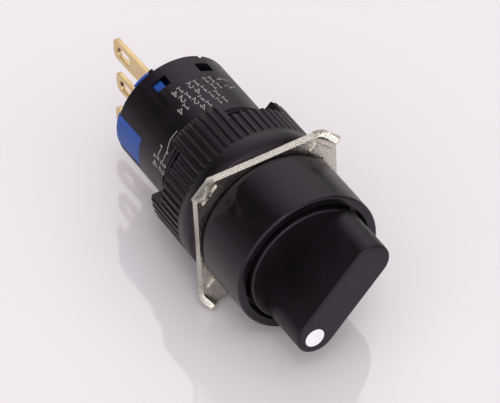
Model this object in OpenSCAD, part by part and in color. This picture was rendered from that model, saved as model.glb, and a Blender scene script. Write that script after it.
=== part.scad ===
// Two-position selector switch for a 16 mm panel hole, with one changeover contact.
// Drawn in millimetres as it lies on a bench: the handle faces -Y, the terminals point to +Y and +Z is up.
// Each module is drawn with z along the switch's axis, zero on the panel seat and positive
// towards the handle, and in_frame() lays it down into the frame above.

/* [Bezel and gasket] */
// Outer radius of the bezel ring
bezel_r = 9; // [8.6:0.1:9.6]
// Front rim of the bezel, ahead of the panel seat
bezel_front = 8.4; // [7.6:0.1:9.4]
// Radius of the recess that the handle's disc turns in
recess_r = 7.95; // [7.7:0.05:8.2]
// Depth of that recess
recess_depth = 1.9; // [1.6:0.1:2.4]
// Thickness of the panel gasket
gasket_t = 0.5; // [0.3:0.1:0.8]

/* [Handle] */
// Radius of the disc under the grip
disc_r = 7.5; // [6.8:0.1:7.6]
// Front face of the disc
disc_front = 8.8; // [8.6:0.1:9.6]
// Front face of the grip bar
bar_front = 15.7; // [12:0.1:18]
// Width of the grip bar
bar_w = 5; // [4:0.1:6]
// Reach of the bar's plain end from the axis
bar_reach = 7.78; // [6.5:0.05:7.9]
// Reach of the bar's marked end from the axis
bar_mark_reach = 7.25; // [6.5:0.05:7.9]
// Direction of the bar in the panel plane, degrees from the right
bar_angle = 45; // [0:5:90]
// Radius of the white marker on the grip
dot_r = 1.2; // [0.8:0.1:1.6]
// Distance of the marker from the axis
dot_at = 5.2; // [4.5:0.1:5.6]
// Radius of the turning shaft
shaft_r = 3.2; // [2.8:0.1:3.6]

/* [Cam and plunger] */
// Angle that the handle turns between its two positions
turn_deg = 90; // [60:5:90]
// Distance that the cam drives the plunger
plunger_travel = 0.8; // [0.5:0.1:1]
// Distance of the plunger's peg from the axis
peg_at = 4.1; // [3.9:0.1:4.2]
// Radius of the peg's round end
peg_r = 0.8; // [0.6:0.1:0.9]

/* [Barrel] */
// Radius over the thread, M16 with a pitch of 1 mm
barrel_r = 8; // [7.8:0.1:8]
// Rear end of the barrel
barrel_rear = -10.5; // [-12:0.1:-10]

/* [Lock plate and nut] */
// Side of the square lock plate
plate_side = 18.1; // [17:0.1:19]
// Thickness of the lock plate
plate_t = 0.97; // [0.8:0.01:1.2]
// Front face of the lock plate as it is stored on the barrel
plate_front = -0.13; // [-0.5:0.01:-0.1]
// Angle that the plate's corners are bent forward
claw_bend = 84; // [60:1:90]
// Outer radius of the lock nut
nut_r = 9.5; // [9:0.1:10]
// Number of grip ribs round the lock nut
rib_count = 60; // [36:4:72]
// Number of spanner notches in the nut's rear end
notch_count = 4; // [2:1:6]

/* [Contact block] */
// Outer radius of the contact housing
housing_r = 7.45; // [7.2:0.05:7.8]
// Front shoulder of the contact housing
housing_front = -11.1; // [-11.6:0.1:-10.9]
// Rear end of the contact housing
housing_rear = -21.7; // [-24:0.1:-21]
// Rear face of the terminal base
base_rear = -22; // [-24.4:0.1:-21.8]
// Distance between neighbouring terminals
terminal_pitch = 5.3; // [5:0.1:5.4]
// Width of a terminal tab
tab_w = 2.8; // [2.4:0.1:2.8]
// Thickness of the terminal strip
tab_t = 0.5; // [0.4:0.1:0.8]
// Length of a tab behind the base
tab_long = 8.1; // [6:0.1:10]

/* [Hidden] */
$fn = 96;
eps = 0.01;

// Handle, shaft and seal
bar_edge_r = 0.4;
disc_edge_r = 0.25;
disc_rear = bezel_front - recess_depth + 0.1;
dot_depth = 0.7;
shaft_rear = 4.75;
seal_groove_z = [5.25, 6.15];
seal_wire_r = 0.4;
seal_groove_r = 2.4;
tenon_side = 4.2;
tenon_rear = 2.9;
clip_z = [3.15, 3.6];
clip_groove_r = 2.3;
clip_r = 3.35;

// Cam: its rear face is one inclined plane, whose steepest line is half way through the turn
cam_r = 4.9;
cam_mid_z = 2.6;
cam_rise = plunger_travel / (2 * peg_at * sin(turn_deg / 2));
cam_slope = atan(cam_rise);
peg_angle = 90;
cam_high_angle = peg_angle + turn_deg / 2;
detent_r = 1.1;
detent_depth = 0.12;
function cam_plane_z(r, a) = cam_mid_z + cam_rise * r * cos(a - cam_high_angle);

// Barrel
barrel_bore_r = 6;
neck_seat_z = -7;
neck_bore_r = 6.55;
spigot_r = 7.4;
spigot_front = bezel_front - recess_depth - 0.1;
front_wall_z = 4.9;
shaft_bore_r = shaft_r + 0.05;
groove_w = 2;
groove_reach = 6.9;
key_w = 2;
key_depth = 0.55;
key_gap = 0.1;
snap_z = 3.9;

// Plunger
peg_gap = 0.08;
peg_z = cam_plane_z(peg_at, peg_angle) - peg_gap - peg_r / cos(cam_slope);
disk_z = [-0.3, 0.9];
disk_r = 5.8;
blade_x = 3.4;
blade_y = 1.1;
blade_rear = -12.4;
toe_x = 1.6;
toe_rear = -13.4;
guide_gap = 0.12;

// Contact arm and contacts
arm_z = -14.5;
arm_t = 0.4;
nose_x = 2.6;
nose_r = 0.7;
nose_w = 1.8;
nose_gap = 0.08;
nose_z = arm_z + arm_t / 2 + nose_gap + nose_r;
contact_x = 4.4;
arm_head_t = 0.35;
front_strip_z = -13.5;
rear_strip_z = -16.65;
strip_t = 0.4;
front_head_t = 0.41;
rear_head_t = 0.42;
rivet_r = 0.45;
arm_rivet_r = 0.5;
rivet_gap = 0.01;
rivet_over = 0.05;

// Springs
plunger_spring_r = 4.5;
plunger_wire_r = 0.25;
arm_spring_r = 0.95;
arm_wire_r = 0.15;
arm_spring_x = 1.2;

// Contact block
neck_r = 6.5;
neck_inner_r = 5.6;
wall_t = 0.8;
housing_inner_r = 6.75;
slot_gap = 0.1;
window_w = 1.9;
window_z = [-20.2, -18.65];
window_angles = [65, 110, 250, 295];
hook_angles = [113, 247];
hook_w = 1.2;
hook_root_r = 5.9;
catch_r = housing_inner_r + 0.2;
catch_flat = 0.3;
catch_relief = 0.4;
pip_angles = [109.5, 250.5];
pip_long = 0.5;
nick_angles = [59, 301];
nick_deep = 0.35;
rim_mark_w = 0.6;
lug_starts = [112.3, 230.5];
lug_angle = 17.2;
lug_rear = base_rear - 0.1;
cutout_y = [-1.7, 2.72];
cutout_front = -16.7;
base_front = base_rear + 1.8;
base_flange_r = housing_inner_r + 0.25;
base_skin_r = housing_r - 0.05;
panel_gap = 0.1;
panel_root_x = -5.4;
tab_x = -2.9;
neck_w = 2;
outer_neck_w = 1.2;
eye_w = 1.3;
eye_z = [-29.2, -26.2];
tip_r = 0.9;
root_gap = 0.03;
tab_gap = 0.12;
upper_lean = 2.5;
upper_twist = 3.5;
middle_lean = 2;
lower_lean = 1.5;
lower_swing = 2.8;

// Lock plate
half_diagonal = plate_side / 2 * sqrt(2);
fold_r = 10.88;
bend_r = 0.67;
claw_tip_t = 0.72;
claw_tip_w = 0.16;
claw_steps = 8;
plate_bore_r = barrel_r + 0.1;
tongue_w = 2.8;
tongue_t = 0.22;
tongue_in = 9.2;
tongue_out = 10.5;

// Lock nut
nut_bore_r = barrel_r + 0.05;
nut_front = plate_front - plate_t - 0.05;
nut_rear = -10.6;
band_rear = -3.9;
notch_w = 46;
notch_depth = 2.4;
notch_first = 66.5;
rib_groove_r = 0.3;
rib_groove_depth = 0.25;
rib_run_out = 0.7;
nut_rear_edge = 0.3;

module in_frame() {
    rotate([90, 0, 0]) children();
}

// A box from its lowest and highest corners
module block(low, high) {
    translate(low) cube(high - low);
}

// A round bar of radius r between two heights
module rod(r, z) {
    translate([0, 0, z[0]]) cylinder(r = r, h = z[1] - z[0]);
}

// A ring with a rectangular section
module ring(r_in, r_out, z) {
    rotate_extrude() translate([r_in, z[0]]) square([r_out - r_in, z[1] - z[0]]);
}

// Half section of the grip bar: straight side, rounded front edge, with x from the bar's middle plane
module bar_section() {
    h = bar_front - disc_front;
    translate([0, disc_front - eps]) square([bar_w / 2, h - bar_edge_r + eps]);
    translate([0, disc_front]) square([bar_w / 2 - bar_edge_r, h]);
    translate([bar_w / 2 - bar_edge_r, bar_front - bar_edge_r]) circle(r = bar_edge_r);
}

// One round end of the grip bar, a half turn of its section
module bar_end(reach, turned) {
    rotate([0, 0, turned]) translate([reach - bar_w / 2, 0, 0]) rotate([0, 0, -90])
        rotate_extrude(angle = 180) bar_section();
}

module grip_bar() {
    front_end = bar_reach - bar_w / 2;
    mark_end = bar_mark_reach - bar_w / 2;
    rotate([0, 0, bar_angle]) {
        bar_end(bar_reach, 0);
        bar_end(bar_mark_reach, 180);
        translate([-mark_end, 0, 0]) rotate([90, 0, 90]) linear_extrude(height = front_end + mark_end) {
            bar_section();
            mirror([1, 0]) bar_section();
        }
    }
}

module handle_disc() {
    rotate_extrude() {
        translate([0, disc_rear]) square([disc_r, disc_front - disc_edge_r - disc_rear]);
        translate([0, disc_rear]) square([disc_r - disc_edge_r, disc_front - disc_rear]);
        translate([disc_r - disc_edge_r, disc_front - disc_edge_r]) circle(r = disc_edge_r);
    }
}

module at_dot() {
    rotate([0, 0, bar_angle]) translate([-dot_at, 0, 0]) children();
}

module knob_handle() {
    color("#2b292c") in_frame() difference() {
        union() {
            grip_bar();
            handle_disc();
            rod(shaft_r, [shaft_rear, disc_rear + eps]);
            block(
                [-tenon_side / 2, -tenon_side / 2, tenon_rear],
                [tenon_side / 2, tenon_side / 2, shaft_rear + eps]
            );
        }
        at_dot() rod(dot_r, [bar_front - dot_depth, bar_front + 1]);
        ring(seal_groove_r, shaft_r + 1, seal_groove_z);
        ring(clip_groove_r, shaft_r + 1, clip_z);
    }
}

module indicator_dot() {
    color("white") in_frame() at_dot() rod(dot_r, [bar_front - dot_depth, bar_front + 0.02]);
}

module shaft_seal() {
    color("#181818") in_frame()
        translate([0, 0, (seal_groove_z[0] + seal_groove_z[1]) / 2])
        rotate_extrude() translate([seal_groove_r + seal_wire_r + eps, 0]) circle(r = seal_wire_r);
}

// Everything behind the cam's inclined plane
module behind_cam_plane() {
    rotate([0, 0, cam_high_angle]) translate([0, 0, cam_mid_z]) rotate([0, -cam_slope, 0])
        block([-10, -10, -10], [10, 10, 0]);
}

// One of the two hollows in the cam that the peg comes to rest in
module detent(a) {
    middle_z = cam_plane_z(peg_at, a) - (detent_r - detent_depth) / cos(cam_slope);
    rotate([0, 0, a]) translate([peg_at, 0, middle_z]) sphere(r = detent_r);
}

module selector_cam() {
    hole = tenon_side / 2 + 0.02;
    color("#e8e4da") in_frame() difference() {
        rod(cam_r, [cam_mid_z - 1, shaft_rear]);
        behind_cam_plane();
        block([-hole, -hole, 0], [hole, hole, shaft_rear + 1]);
        rod(clip_r + 0.1, [0, clip_z[1]]);
        detent(peg_angle);
        detent(peg_angle - turn_deg);
    }
}

module cam_clip() {
    color("silver") in_frame() difference() {
        ring(clip_groove_r + 0.02, clip_r, clip_z);
        block([-1.1, -clip_r - 1, clip_z[0] - 1], [1.1, 0, clip_z[1] + 1]);
        for (a = [35, 145]) {
            rotate([0, 0, a]) translate([clip_groove_r, 0, clip_z[0] - 1])
                cylinder(r = 0.4, h = 3, $fn = 32);
        }
    }
}

module bezel() {
    edge = 0.35;
    floor_z = bezel_front - recess_depth;
    color("#29272b") in_frame() rotate_extrude() difference() {
        union() {
            translate([spigot_r, gasket_t])
                square([bezel_r - edge - spigot_r, bezel_front - gasket_t]);
            translate([spigot_r, gasket_t + edge])
                square([bezel_r - spigot_r, bezel_front - gasket_t - 2 * edge]);
            translate([bezel_r - edge, gasket_t + edge]) circle(r = edge);
            translate([bezel_r - edge, bezel_front - edge]) circle(r = edge);
        }
        translate([0, gasket_t - 1]) square([spigot_r + 0.02, bezel_front + 2]);
        translate([0, floor_z]) square([recess_r, recess_depth + 1]);
        translate([spigot_r - 1, snap_z])
            polygon([[0, -0.6], [1, -0.6], [1.25, -0.35], [1.25, 0.35], [1, 0.6], [0, 0.6]]);
    }
}

module panel_gasket() {
    color("#3a393b") in_frame() ring(barrel_r + 0.02, bezel_r - 0.25, [0, gasket_t]);
}

// A straight channel along the barrel, cut on both sides of the bore
module inner_grooves(reach, w, z) {
    block([-reach, -w / 2, z[0]], [reach, w / 2, z[1]]);
}

module threaded_barrel() {
    color("#242226") in_frame() difference() {
        rotate_extrude() polygon([
            [neck_bore_r, barrel_rear], [barrel_r - 0.3, barrel_rear], [barrel_r, barrel_rear + 0.3],
            [barrel_r, gasket_t], [spigot_r, gasket_t],
            [spigot_r, snap_z - 0.5], [spigot_r + 0.2, snap_z - 0.3],
            [spigot_r + 0.2, snap_z + 0.3], [spigot_r, snap_z + 0.5],
            [spigot_r, spigot_front - 0.3], [spigot_r - 0.3, spigot_front],
            [shaft_bore_r, spigot_front], [shaft_bore_r, front_wall_z],
            [barrel_bore_r, front_wall_z], [barrel_bore_r, neck_seat_z], [neck_bore_r, neck_seat_z]
        ]);
        inner_grooves(groove_reach, groove_w, [barrel_rear - 1, disk_z[1] + 0.6]);
        block([-key_w / 2, -barrel_r - 1, barrel_rear - 1], [key_w / 2, key_depth - barrel_r, 0]);
    }
}

// Where a point of a bent corner comes to lie: s along the sheet beyond the fold, d behind its front face
function bent(s, d) = let (
    a = min(max(s, 0) / bend_r * 180 / PI, claw_bend),
    past = s - a * PI / 180 * bend_r
) [
    fold_r + (bend_r + d) * sin(a) + past * cos(a),
    plate_front + bend_r - (bend_r + d) * cos(a) + past * sin(a)
];

// The four corner points of a bent corner's section at s, where the sheet has thinned towards the tip
function claw_row(s) = let (
    half = half_diagonal - fold_r - s,
    d = plate_t - (plate_t - claw_tip_t) * max(s, 0) / (half_diagonal - fold_r),
    front = bent(s, 0), back = bent(s, d)
) [
    [front[0], -half, front[1]], [front[0], half, front[1]],
    [back[0], half, back[1]], [back[0], -half, back[1]]
];

// Triangular corner of the sheet, bent forward round a line square to the diagonal
module claw() {
    arc = bend_r * claw_bend * PI / 180;
    stations = concat(
        [-0.3], [for (i = [0:claw_steps]) arc * i / claw_steps],
        [half_diagonal - fold_r - claw_tip_w / 2]
    );
    last = 4 * (len(stations) - 1);
    walls = [for (i = [0:4:last - 1]) for (j = [0:3]) let (k = (j + 1) % 4)
        [i + j, i + k, i + 4 + k, i + 4 + j]];
    polyhedron(
        points = [for (s = stations) each claw_row(s)],
        faces = concat(walls, [[3, 2, 1, 0], [last, last + 1, last + 2, last + 3]])
    );
}

// Raised tongue beside the bend, with a serrated inner end that grips the panel
module tongue() {
    teeth = 5;
    tooth_long = 0.3;
    step = tongue_w / teeth;
    tooth_points = [for (i = [0:teeth - 1]) each [
        [tongue_in, (i - teeth / 2) * step], [tongue_in - tooth_long, (i + 0.5 - teeth / 2) * step]
    ]];
    translate([0, 0, plate_front - eps]) linear_extrude(height = tongue_t + eps)
        polygon(concat(
            [[tongue_out, -tongue_w / 2]], tooth_points,
            [[tongue_in, tongue_w / 2], [tongue_out, tongue_w / 2]]
        ));
}

module lock_plate() {
    flat_z = [plate_front - plate_t, plate_front];
    color("#c9c3b2") in_frame() {
        difference() {
            block(
                [-plate_side / 2, -plate_side / 2, flat_z[0]],
                [plate_side / 2, plate_side / 2, flat_z[1]]
            );
            for (a = [45:90:315]) {
                rotate([0, 0, a]) block([fold_r, -8, flat_z[0] - 1], [fold_r + 8, 8, flat_z[1] + 1]);
            }
            difference() {
                rod(plate_bore_r, [flat_z[0] - 1, flat_z[1] + 1]);
                block(
                    [-key_w / 2 + key_gap, -barrel_r - 1, flat_z[0] - 2],
                    [key_w / 2 - key_gap, key_depth - barrel_r - key_gap / 2, 2]
                );
            }
        }
        for (a = [45:90:315]) {
            rotate([0, 0, a]) {
                claw();
                tongue();
            }
        }
    }
}

module rib_outline() {
    difference() {
        circle(r = nut_r);
        for (i = [0:rib_count - 1]) {
            rotate(i * 360 / rib_count) translate([nut_r + rib_groove_r - rib_groove_depth, 0])
                circle(r = rib_groove_r, $fn = 24);
        }
    }
}

module lock_nut() {
    edge = 0.55;
    color("#2c2a2e") in_frame() difference() {
        union() {
            rotate_extrude() polygon([
                [nut_bore_r - 1, nut_front], [nut_r - edge, nut_front], [nut_r, nut_front - edge],
                [nut_r, band_rear], [nut_r - rib_groove_depth - 0.05, band_rear - rib_run_out],
                [nut_bore_r - 1, band_rear - rib_run_out]
            ]);
            intersection() {
                translate([0, 0, nut_rear])
                    linear_extrude(height = band_rear - nut_rear + eps) rib_outline();
                rotate_extrude() polygon([
                    [nut_bore_r - 1, nut_rear - eps], [nut_r - nut_rear_edge, nut_rear - eps],
                    [nut_r + 1, nut_rear + nut_rear_edge + 1], [nut_r + 1, band_rear + 1],
                    [nut_bore_r - 1, band_rear + 1]
                ]);
            }
        }
        rod(nut_bore_r, [nut_rear - 1, nut_front + 1]);
        for (i = [0:notch_count - 1]) {
            rotate([0, 0, notch_first + i * 360 / notch_count - notch_w / 2])
                translate([0, 0, nut_rear - 1]) rotate_extrude(angle = notch_w)
                translate([nut_bore_r - 1, 0]) square([nut_r, notch_depth + 1]);
        }
    }
}

module plunger() {
    color("#d9d5c8") in_frame() {
        rod(disk_r, disk_z);
        block(
            [-groove_reach + guide_gap, -groove_w / 2 + guide_gap, disk_z[0]],
            [groove_reach - guide_gap, groove_w / 2 - guide_gap, disk_z[1]]
        );
        rotate([0, 0, peg_angle]) translate([peg_at, 0, 0]) {
            rod(peg_r, [disk_z[1] - eps, peg_z]);
            translate([0, 0, peg_z]) sphere(r = peg_r);
        }
        block([-blade_x, -blade_y, blade_rear], [blade_x, blade_y, disk_z[0] + eps]);
        block([toe_x, -blade_y, toe_rear], [blade_x, blade_y, blade_rear + eps]);
        translate([nose_x, 0, nose_z]) rotate([90, 0, 0])
            cylinder(r = nose_r, h = nose_w, center = true, $fn = 48);
    }
}

// A ring of n points round a wire of radius w, whose middle is at angle a on a coil of radius r
function wire_ring(r, w, a, z, n) = [for (j = [0:n - 1]) let (b = j * 360 / n, q = r + w * cos(b))
    [q * cos(a), q * sin(a), z + w * sin(b)]];

// Height of a coil's middle line, with one closed turn at each end
function coil_z(u, turns, w, low, high) =
    let (shut = 2 * w + 0.02, open = (high - low - 2 * w - 2 * shut) / (turns - 2))
    low + w + (u < 1 ? u * shut : u < turns - 1 ? shut + (u - 1) * open
        : shut + (turns - 2) * open + (u - turns + 1) * shut);

module coil(r, w, turns, low, high) {
    sides = 8;
    steps = turns * 20;
    points = [for (i = [0:steps]) each wire_ring(r, w, i * 18, coil_z(i / 20, turns, w, low, high), sides)];
    walls = [for (i = [0:steps - 1]) for (j = [0:sides - 1]) let (k = (j + 1) % sides)
        [i * sides + j, i * sides + k, (i + 1) * sides + k, (i + 1) * sides + j]];
    first_cap = [[for (j = [0:sides - 1]) sides - 1 - j]];
    last_cap = [[for (j = [0:sides - 1]) steps * sides + j]];
    polyhedron(points = points, faces = concat(walls, first_cap, last_cap), convexity = 10);
}

module plunger_spring() {
    color("silver") in_frame() coil(plunger_spring_r, plunger_wire_r, 6, neck_seat_z, disk_z[0]);
}

module arm_spring() {
    color("silver") in_frame() translate([arm_spring_x, 0, 0])
        coil(arm_spring_r, arm_wire_r, 8, base_front, arm_z - arm_t / 2);
}

// Small locating pip on the housing's rear rim, outside the base's flange
module rim_pip() {
    block(
        [base_flange_r + 0.03, -rim_mark_w / 2, housing_rear - pip_long],
        [housing_r - 0.1, rim_mark_w / 2, housing_rear + eps]
    );
}

// Small nick in the outer edge of that rim
module rim_nick() {
    block(
        [housing_r - nick_deep, -rim_mark_w / 2, housing_rear - 1],
        [housing_r + 1, rim_mark_w / 2, housing_rear + nick_deep]
    );
}

// Opening in the housing's wall that one of the base's hooks can spring into
module window() {
    block([housing_inner_r - 0.5, -window_w / 2, window_z[0]], [housing_r + 1, window_w / 2, window_z[1]]);
}

module contact_housing() {
    color("#28262a") in_frame() difference() {
        union() {
            rotate_extrude() polygon([
                [0, neck_seat_z], [neck_r, neck_seat_z], [neck_r, housing_front],
                [housing_r - 0.2, housing_front], [housing_r, housing_front - 0.2],
                [housing_r, housing_rear], [0, housing_rear]
            ]);
            block(
                [-groove_reach + slot_gap, -groove_w / 2 + slot_gap, barrel_rear + slot_gap],
                [groove_reach - slot_gap, groove_w / 2 - slot_gap, neck_seat_z]
            );
            for (a = pip_angles) rotate([0, 0, a]) rim_pip();
        }
        rotate_extrude() polygon([
            [0, neck_seat_z - wall_t], [neck_inner_r, neck_seat_z - wall_t],
            [neck_inner_r, housing_front - wall_t], [housing_inner_r, housing_front - wall_t],
            [housing_inner_r, housing_rear - 1], [0, housing_rear - 1]
        ]);
        block(
            [-blade_x - slot_gap, -blade_y - slot_gap, neck_seat_z - 2],
            [blade_x + slot_gap, blade_y + slot_gap, 0]
        );
        for (a = window_angles) rotate([0, 0, a]) window();
        for (a = nick_angles) rotate([0, 0, a]) rim_nick();
        block(
            [-housing_r - 1, cutout_y[0], housing_rear - 1],
            [-housing_inner_r + 2, cutout_y[1], cutout_front]
        );
    }
}

// Snap hook of the terminal base, whose ramped catch springs into a window of the housing
module base_hook() {
    back = housing_inner_r - 0.05;
    low = window_z[0] + 0.02;
    tip = window_z[1] - 0.1;
    rotate([90, 0, 0]) linear_extrude(height = hook_w, center = true) polygon([
        [hook_root_r, base_front - eps], [back, base_front - eps], [back, low],
        [catch_r, low], [catch_r, low + catch_flat],
        [back, tip - catch_relief], [back, tip], [hook_root_r, tip]
    ]);
}

// Lug of the base that lies on the housing's rear rim beside a hook
module rim_lug() {
    lug_in = base_flange_r - 0.5;
    rotate_extrude(angle = lug_angle)
        translate([lug_in, lug_rear]) square([base_skin_r - lug_in, housing_rear - lug_rear]);
}

// Part of the base's wall that closes the cut-out, flush with the housing
module cutout_panel() {
    intersection() {
        rod(base_skin_r, [base_rear, cutout_front - panel_gap]);
        block(
            [-housing_r - 1, cutout_y[0] + panel_gap, base_rear - 1],
            [panel_root_x, cutout_y[1] - panel_gap, cutout_front]
        );
    }
}

// Space for a terminal strip, with a hair of clearance
module strip_slot(y) {
    block([tab_x - 0.02, y[0] - 0.02, base_rear - 1], [tab_x + tab_t + 0.02, y[1] + 0.02, base_front + 1]);
}

// Room for the root of an outer tab, which would otherwise touch the lug beside it
module tab_room(y) {
    reach = tab_w / 2 + tab_gap;
    block([tab_x - tab_gap, y - reach, lug_rear - 1], [tab_x + tab_t + tab_gap, y + reach, base_rear]);
}

outer_neck_y = [terminal_pitch - tab_w / 2, terminal_pitch - tab_w / 2 + outer_neck_w];

module terminal_base() {
    color("#3f5fae") in_frame() difference() {
        union() {
            rod(housing_inner_r - 0.05, [base_rear, base_front]);
            rod(base_flange_r, [base_rear, housing_rear]);
            cutout_panel();
            for (a = hook_angles) rotate([0, 0, a]) base_hook();
            for (a = lug_starts) rotate([0, 0, a]) rim_lug();
            translate([arm_spring_x, 0, 0]) rod(0.6, [base_front - eps, base_front + 1.8]);
        }
        strip_slot(outer_neck_y);
        strip_slot([-neck_w / 2, neck_w / 2]);
        strip_slot([-outer_neck_y[1], -outer_neck_y[0]]);
        for (side = [-1, 1]) tab_room(side * terminal_pitch);
    }
}

// Outline of a tab behind the base, leaning by the angle given, with its eye; x is across and y along
module tab_outline(lean) {
    end_y = -tab_long + tip_r;
    difference() {
        union() {
            polygon([
                [-tab_w / 2, 0], [tab_w / 2, 0],
                [tab_w / 2 * cos(lean) + end_y * sin(lean), tab_w / 2 * sin(-lean) + end_y * cos(lean)],
                [-tab_w / 2 * cos(lean) + end_y * sin(lean), -tab_w / 2 * sin(-lean) + end_y * cos(lean)]
            ]);
            rotate(-lean) {
                for (side = [-1, 1]) {
                    translate([side * (tab_w / 2 - tip_r), end_y]) circle(r = tip_r, $fn = 48);
                }
                translate([-(tab_w / 2 - tip_r), -tab_long]) square([tab_w - 2 * tip_r, tip_r + 0.3]);
            }
        }
        rotate(-lean) {
            for (z = [eye_z[0] + eye_w / 2, eye_z[1] - eye_w / 2]) {
                translate([0, z - base_rear]) circle(r = eye_w / 2, $fn = 48);
            }
            translate([-eye_w / 2, eye_z[0] + eye_w / 2 - base_rear])
                square([eye_w, eye_z[1] - eye_z[0] - eye_w]);
        }
    }
}

// A tab behind the base's rear face, with its middle at height y. Use has bent it a little: it leans
// in its own plane, swings out of it, and is twisted about its length.
module tab(y, lean = 0, swing = 0, twist = 0) {
    translate([tab_x + tab_t / 2, y, base_rear - root_gap]) rotate([0, swing, -twist])
        translate([-tab_t / 2, 0, 0]) rotate([90, 0, 90]) linear_extrude(height = tab_t) tab_outline(lean);
}

// The part of a terminal between its tab and its contact, in its slot in the base
module terminal_neck(y, front) {
    block([tab_x, y[0], base_rear - 3 * root_gap], [tab_x + tab_t, y[1], front]);
}

// Flat strip inside the housing that carries a fixed contact, from its neck to the contact
module contact_strip(z) {
    intersection() {
        union() {
            block([tab_x, 3.3, z[0]], [5.1, 4.7, z[1]]);
            block([3.75, -0.9, z[0]], [5.1, 4.2, z[1]]);
        }
        rod(6.5, [z[0] - 1, z[1] + 1]);
    }
}

module terminal_upper() {
    strip_z = [front_strip_z, front_strip_z + strip_t];
    color("#d8b869") in_frame() difference() {
        union() {
            tab(terminal_pitch, lean = upper_lean, twist = upper_twist);
            terminal_neck(outer_neck_y, strip_z[1]);
            contact_strip(strip_z);
        }
        translate([contact_x, 0, 0]) rod(rivet_r + rivet_gap, [strip_z[0] - 1, strip_z[1] + 1]);
    }
}

module terminal_lower() {
    strip_z = [rear_strip_z - strip_t, rear_strip_z];
    color("#d8b869") in_frame() difference() {
        union() {
            tab(-terminal_pitch, lean = lower_lean, swing = lower_swing);
            terminal_neck([-outer_neck_y[1], -outer_neck_y[0]], strip_z[1]);
            mirror([0, 1, 0]) contact_strip(strip_z);
        }
        translate([contact_x, 0, 0]) rod(rivet_r + rivet_gap, [strip_z[0] - 1, strip_z[1] + 1]);
    }
}

module terminal_middle() {
    color("#d8b869") in_frame() difference() {
        union() {
            tab(0, lean = middle_lean);
            terminal_neck([-neck_w / 2, neck_w / 2], arm_z - 0.8);
            block([tab_x, -1.4, arm_z - 1], [tab_x + tab_t, 1.4, arm_z + 1]);
        }
        block([tab_x - 1, -0.8, arm_z - 0.35], [tab_x + tab_t + 1, 0.8, arm_z + 0.35]);
    }
}

// Riveted contact button: a bevelled head of the height given, on the face at z = 0
module button(r, h) {
    rotate_extrude($fn = 64) polygon([[0, 0], [r, 0], [r, h * 0.6], [r * 0.62, h], [0, h]]);
}

module front_contact() {
    color("#cfcfcf") in_frame() translate([contact_x, 0, front_strip_z]) {
        mirror([0, 0, 1]) button(0.8, front_head_t);
        rod(rivet_r, [-rivet_over, strip_t + rivet_over]);
        translate([0, 0, strip_t]) button(0.65, 0.2);
    }
}

module rear_contact() {
    color("#cfcfcf") in_frame() translate([contact_x, 0, rear_strip_z]) {
        button(0.8, rear_head_t);
        rod(rivet_r, [-strip_t - rivet_over, rivet_over]);
        translate([0, 0, -strip_t]) mirror([0, 0, 1]) button(0.65, 0.2);
    }
}

module contact_arm() {
    low = arm_z - arm_t / 2;
    high = arm_z + arm_t / 2;
    color("#d6a24a") in_frame() difference() {
        union() {
            block([-4.2, -0.7, low], [-2, 0.7, high]);
            block([-2.2, -1.1, low], [contact_x - 0.2, 1.1, high]);
            translate([contact_x - 0.2, 0, 0]) rod(1.1, [low, high]);
        }
        translate([contact_x, 0, 0]) rod(arm_rivet_r + rivet_gap, [low - 1, high + 1]);
    }
}

module moving_contact() {
    color("#cfcfcf") in_frame() translate([contact_x, 0, arm_z]) {
        rod(arm_rivet_r, [-arm_t / 2 - rivet_over, arm_t / 2 + rivet_over]);
        translate([0, 0, arm_t / 2]) button(0.9, arm_head_t);
        translate([0, 0, -arm_t / 2]) mirror([0, 0, 1]) button(0.9, arm_head_t);
    }
}

knob_handle();
indicator_dot();
shaft_seal();
selector_cam();
cam_clip();
bezel();
panel_gasket();
threaded_barrel();
lock_plate();
lock_nut();
plunger();
plunger_spring();
contact_housing();
terminal_base();
terminal_upper();
terminal_middle();
terminal_lower();
front_contact();
rear_contact();
contact_arm();
moving_contact();
arm_spring();
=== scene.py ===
"""Looks of a 16 mm two-position selector switch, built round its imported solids.

Pieces are drawn in millimetres with z along the switch's axis, zero on the panel seat and
positive towards the handle, and IN_FRAME lays them down into the frame, in metres.
"""

import math

import bmesh
import bpy
from bpy.props import FloatProperty, FloatVectorProperty, IntProperty, PointerProperty
from mathutils import Matrix, Vector


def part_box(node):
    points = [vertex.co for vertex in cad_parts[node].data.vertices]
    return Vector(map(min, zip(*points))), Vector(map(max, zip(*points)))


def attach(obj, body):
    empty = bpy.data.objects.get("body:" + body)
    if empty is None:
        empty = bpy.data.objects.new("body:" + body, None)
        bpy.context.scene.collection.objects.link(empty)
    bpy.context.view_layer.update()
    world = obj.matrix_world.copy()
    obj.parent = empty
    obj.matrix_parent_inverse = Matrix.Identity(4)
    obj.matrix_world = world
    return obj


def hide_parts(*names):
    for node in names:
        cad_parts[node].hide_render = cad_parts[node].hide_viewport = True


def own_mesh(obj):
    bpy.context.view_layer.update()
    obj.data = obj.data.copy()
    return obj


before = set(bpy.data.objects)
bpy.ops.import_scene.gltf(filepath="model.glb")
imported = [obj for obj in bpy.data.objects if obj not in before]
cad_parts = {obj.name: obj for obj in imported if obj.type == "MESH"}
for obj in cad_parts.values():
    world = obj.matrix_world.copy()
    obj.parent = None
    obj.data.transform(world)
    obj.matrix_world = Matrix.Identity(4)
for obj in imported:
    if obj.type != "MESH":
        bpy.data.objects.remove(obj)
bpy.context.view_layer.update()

bl_info = {
    "name": "Selector switch looks",
    "version": (1, 0, 0),
    "blender": (4, 5, 0),
    "location": "3D View > Sidebar > Switch",
    "description": "Builds the visible pieces, finishes, room light and camera of a selector switch",
    "category": "Object",
}

MM = 0.001
IN_FRAME = Matrix.Scale(MM, 4) @ Matrix.Rotation(math.radians(90), 4, "X")


# Sizes and colours that a user may change


def length(name, description, default, low=0.0, high=0.1):
    return FloatProperty(name=name, description=description, default=default, min=low, max=high,
                         unit="LENGTH", precision=5)


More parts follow.
